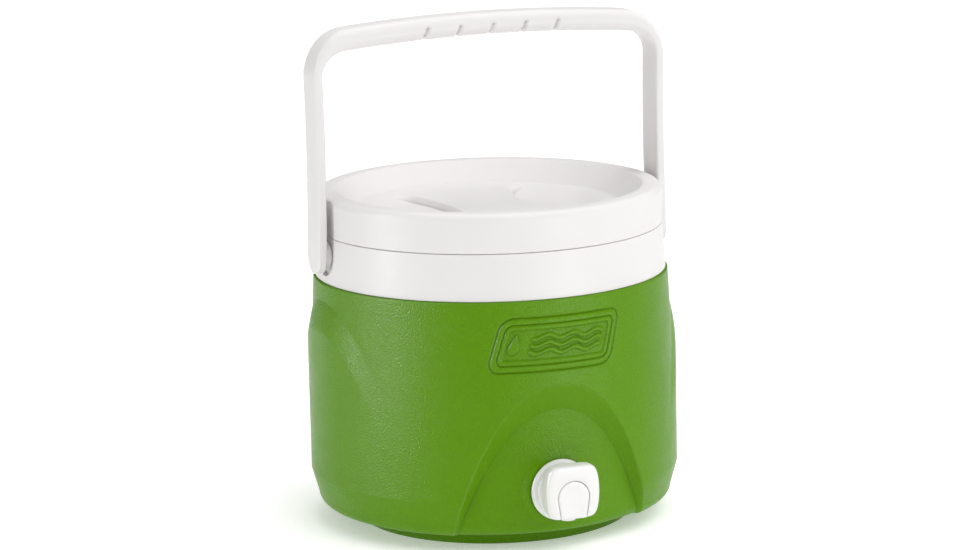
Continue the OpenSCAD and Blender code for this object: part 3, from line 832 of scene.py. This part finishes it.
def button_curve(width, height, low, grow, count=64):
    """The push button's outline: a round top, and sides that close in towards its foot."""
    half = width / 2
    mid = low + height - half
    a = np.radians(np.linspace(-4, 184, count))
    top = np.stack([(half + grow) * np.cos(a), mid + (half + grow) * np.sin(a)], -1)
    foot = 0.40 * width + grow
    steps = 10
    right_x = np.linspace(foot, top[0, 0], steps)[:-1]
    right_z = np.linspace(low - grow, top[0, 1], steps)[:-1]
    right = np.stack([right_x, right_z], -1)
    left = right[::-1] * np.array([-1, 1])
    return np.concatenate([right, top, left])


def apply_modifiers(piece):
    """Makes the piece's modified shape its mesh."""
    bpy.context.view_layer.update()
    evaluated = piece.evaluated_get(bpy.context.evaluated_depsgraph_get())
    mesh = bpy.data.meshes.new_from_object(evaluated)
    piece.modifiers.clear()
    piece.data = mesh


def boolean_cut(piece, cutter):
    """Cuts cutter out of piece and removes cutter."""
    cut = piece.modifiers.new("cut", "BOOLEAN")
    cut.operation = "DIFFERENCE"
    cut.solver = "EXACT"
    cut.object = cutter
    apply_modifiers(piece)
    bpy.data.objects.remove(cutter)


def soften(piece, width, limit):
    """Small round edges where faces meet at more than limit degrees."""
    bevel = piece.modifiers.new("edges", "BEVEL")
    bevel.width = width * MM
    bevel.segments = 2
    bevel.limit_method = "ANGLE"
    bevel.angle_limit = math.radians(limit)
    bevel.use_clamp_overlap = True
    apply_modifiers(piece)


def prism(name, curve, y_front, y_back):
    """A straight prism along Y of a curve of [x, z] points."""
    n = len(curve)
    rows = [np.stack([curve[:, 0], 0 * curve[:, 0] - y, curve[:, 1]], -1) for y in (y_front, y_back)]
    return plain_object(name, np.concatenate(rows), closed_ends(2, n, grid_faces(2, n)))


def pipe(name, start, end, radius, count=48):
    """A straight round bar between two points."""
    start, end = np.array(start, float), np.array(end, float)
    along = (end - start) / np.linalg.norm(end - start)
    side = np.cross(along, [1.0, 0.3, 0.2])
    side /= np.linalg.norm(side)
    other = np.cross(along, side)
    a = np.linspace(0, 2 * math.pi, count, endpoint=False)[:, None]
    ring = radius * (np.cos(a) * side + np.sin(a) * other)
    faces = closed_ends(2, count, grid_faces(2, count))
    return plain_object(name, np.concatenate([start + ring, end + ring]), faces)


def make_tap():
    """The tap's tail, flange, barrel and block, with the pocket, the bore and the chamber cut out."""
    n = 180
    y0 = FLANGE_Y
    tail_r, tail_y, chamber_r = 10.5, 101.0, 7.0
    tail = [(tail_r, tail_y - y0), (tail_r, 0.0)]
    flange = [(21.6, 0.0), (22.1, 0.25), (22.4, 0.8), (22.4, 1.6), (22.1, 2.2), (21.5, 2.5)]
    barrel = [(20.9, 2.55), (20.5, 2.8), (20.4, 3.4), (20.4, 8.5), (20.2, 9.1), (19.6, 9.5)]
    groove = [(18.9, 9.55), (18.5, 9.8), (18.4, 10.5)]
    rings = [circle_ring(n, r, y0 + y) for r, y in tail + flange + barrel + groove]
    flare = [(1.2, 11.0, 0.55), (0.7, 11.7, 0.34), (0.5, 12.8, 0.18), (0.3, 14.5, 0.07), (0.1, 17.0, 0.0)]
    rings += [block_ring(n, inset, y0 + y, blend) for inset, y, blend in flare]
    front_r = 2.1
    rings += [block_ring(n, 0.0, y) for y in np.linspace(y0 + 19.0, TAP_FRONT - front_r, 3)]
    for a in np.radians(np.linspace(0, 90, 9))[1:]:
        rings.append(block_ring(n, front_r * (1 - math.cos(a)), TAP_FRONT - front_r + front_r * math.sin(a)))
    rings += [block_ring(n, inset, TAP_FRONT) for inset in (5.0, 8.0, 12.0, 16.0)]
    tap = loft("tap_block", rings, TAP_WHITE, "body", "tap_body", 40.0)
    curve = button_curve(BUTTON_W, BUTTON_TOP - BLOCK_LOW, BLOCK_LOW, 0.45)
    curve[:, 1] = np.where(curve[:, 1] < BLOCK_LOW, BLOCK_LOW - 4, curve[:, 1])
    boolean_cut(tap, prism("pocket", curve, TAP_FRONT + 2, POCKET_Y))
    boolean_cut(tap, pipe("bore", (0, -SPOUT_Y, SPOUT_LOW - 6.5), (0, -SPOUT_Y, TAP_Z - 5), SPOUT_R))
    boolean_cut(tap, pipe("chamber", (0, 2 - tail_y, TAP_Z), (0, 1.9 - POCKET_Y, TAP_Z), chamber_r))
    soften(tap, 0.25, 40)
    tap.data.set_sharp_from_angle(angle=math.radians(40))


def make_spout():
    """The short tube that shows under the tap's block."""
    count = 64
    low, high, outer = SPOUT_LOW, BLOCK_LOW + 1.0, SPOUT_R + 1.4
    profile = [(SPOUT_R, high), (SPOUT_R, low + 0.5), (SPOUT_R + 0.25, low + 0.1), (SPOUT_R + 0.5, low),
               (outer - 0.5, low), (outer - 0.15, low + 0.15), (outer, low + 0.5), (outer, high)]
    a = np.linspace(0, 2 * math.pi, count, endpoint=False)
    rows = [np.stack([r * np.cos(a), r * np.sin(a) - SPOUT_Y, z + 0 * a], -1) for r, z in profile]
    faces = grid_faces(len(rows), count, loop=True)
    add_mesh("spout_tube", np.concatenate(rows), faces, TAP_WHITE, "body", None)


def make_button():
    """The push button, with a round front edge and a shallow dip for the thumb."""
    curve = button_curve(BUTTON_W, BUTTON_TOP - BLOCK_LOW, BLOCK_LOW, 0.0)
    centre = np.array([0.0, BLOCK_LOW + 14.0])
    front = BUTTON_FRONT

    def ring(inset, y):
        outward = curve - centre
        reach = np.linalg.norm(outward, axis=1)[:, None]
        inner = curve - outward / reach * inset
        return np.stack([inner[:, 0], 0 * inner[:, 0] - y, inner[:, 1]], -1)

    round_r = 1.0
    rings = [ring(0, BUTTON_BACK), ring(0, front - round_r)]
    for a in np.radians(np.linspace(0, 90, 6))[1:]:
        rings.append(ring(round_r * (1 - math.cos(a)), front - round_r + round_r * math.sin(a)))
    for inset, dip in ((2.5, 0.03), (4.5, 0.12), (7.0, 0.22), (9.0, 0.28)):
        rings.append(ring(inset, front - dip))
    loft("push_button", rings, TAP_WHITE, "valve", "tap_button", 40.0)


make_body()
make_collar()
make_lid()
make_handle()
make_pegs()
make_tap()
make_spout()
make_button()


# ---------------------------------------------------------------- stage, lights and camera
def stage_material():
    """A white floor that glows a little, so that it stays white beside the jug."""
    material, _, shader = new_material("pale_floor")
    shader.inputs["Base Color"].default_value = (0.92, 0.92, 0.92, 1)
    shader.inputs["Roughness"].default_value = 0.7
    shader.inputs["Emission Color"].default_value = (1, 1, 1, 1)
    shader.inputs["Emission Strength"].default_value = 0.33
    return material


def make_stage():
    """A flat white floor, wide enough to fill the view."""
    half = 6.0
    corners = [(-half, -half, 0), (half, -half, 0), (half, half, 0), (-half, half, 0)]
    mesh = bpy.data.meshes.new("floor")
    mesh.from_pydata(corners, [], [(0, 1, 2, 3)])
    floor = bpy.data.objects.new("floor", mesh)
    bpy.context.scene.collection.objects.link(floor)
    mesh.materials.append(stage_material())


def area_light(name, azimuth, distance, height, size, power):
    """A soft box at an azimuth round the jug, aimed at its middle."""
    aim_z = 0.17
    light = bpy.data.lights.new(name, "AREA")
    light.shape = "RECTANGLE"
    light.size, light.size_y = size
    light.energy = power
    lamp = bpy.data.objects.new(name, light)
    bpy.context.scene.collection.objects.link(lamp)
    a = math.radians(azimuth)
    lamp.location = (distance * math.sin(a), -distance * math.cos(a), height)
    to = Vector((0, 0, aim_z)) - lamp.location
    lamp.rotation_mode = "QUATERNION"
    lamp.rotation_quaternion = to.to_track_quat("-Z", "Y")
    return lamp


def sun_light(strength, spread, azimuth, elevation):
    """An even key light, as soft as a large lit ceiling, and left out of reflections."""
    light = bpy.data.lights.new("key", "SUN")
    light.energy = strength
    light.angle = math.radians(spread)
    lamp = bpy.data.objects.new("key", light)
    bpy.context.scene.collection.objects.link(lamp)
    a, e = math.radians(azimuth), math.radians(elevation)
    lamp.location = (3 * math.cos(e) * math.sin(a), -3 * math.cos(e) * math.cos(a), 3 * math.sin(e))
    lamp.rotation_mode = "QUATERNION"
    lamp.rotation_quaternion = (-lamp.location).to_track_quat("-Z", "Y")
    lamp.visible_glossy = False


def make_world(strength):
    """An even white surround, left out of reflections, which keeps the green deep."""
    world = bpy.data.worlds.new("studio")
    bpy.context.scene.world = world
    world.use_nodes = True
    background = world.node_tree.nodes["Background"]
    background.inputs["Color"].default_value = (1, 1, 1, 1)
    background.inputs["Strength"].default_value = strength
    world.cycles_visibility.glossy = False


def make_camera():
    """The camera's place is its azimuth from the tap, its distance and its height over the jug's middle."""
    azimuth = math.radians(-21.0)
    reach = 2.625
    elevation = math.radians(12.34)
    centre_z = 0.130
    pitch, roll = math.radians(1.03), math.radians(-1.21)
    data = bpy.data.cameras.new("camera")
    camera = bpy.data.objects.new("camera", data)
    bpy.context.scene.collection.objects.link(camera)
    data.lens = 129.3
    data.shift_x = -0.0015
    data.shift_y = 0.0011
    data.sensor_width = 36.0
    flat = reach * math.cos(elevation)
    high = centre_z + reach * math.sin(elevation)
    camera.location = (flat * math.sin(azimuth), -flat * math.cos(azimuth), high)
    turn = Matrix.Rotation(azimuth, 3, "Z")
    tilt = Matrix.Rotation(math.pi / 2 - elevation + pitch, 3, "X")
    spin = Matrix.Rotation(roll, 3, "Z")
    camera.rotation_mode = "QUATERNION"
    camera.rotation_quaternion = (turn @ tilt @ spin).to_quaternion()
    bpy.context.scene.camera = camera


# The strip and the front box only show in reflections: the pale streak on the left of the body and
# the sheen over the tap. The other lights carry the shading.
make_stage()
make_world(0.53)
sun_light(1.85, 70, 42, 58)
area_light("top", 180, 0.3, 1.5, (0.8, 0.8), 4.0)
area_light("fill_left", -100, 1.2, 0.5, (0.4, 1.0), 1.0)
area_light("strip_left", -88, 1.2, 0.42, (0.16, 1.1), 45.0).visible_diffuse = False
area_light("front_gloss", 27, 1.5, 0.12, (0.35, 0.35), 17.0).visible_diffuse = False
area_light("box_right", 75, 1.7, 0.6, (0.8, 1.2), 0.8)
make_camera()
bpy.context.scene.view_settings.view_transform = "Standard"
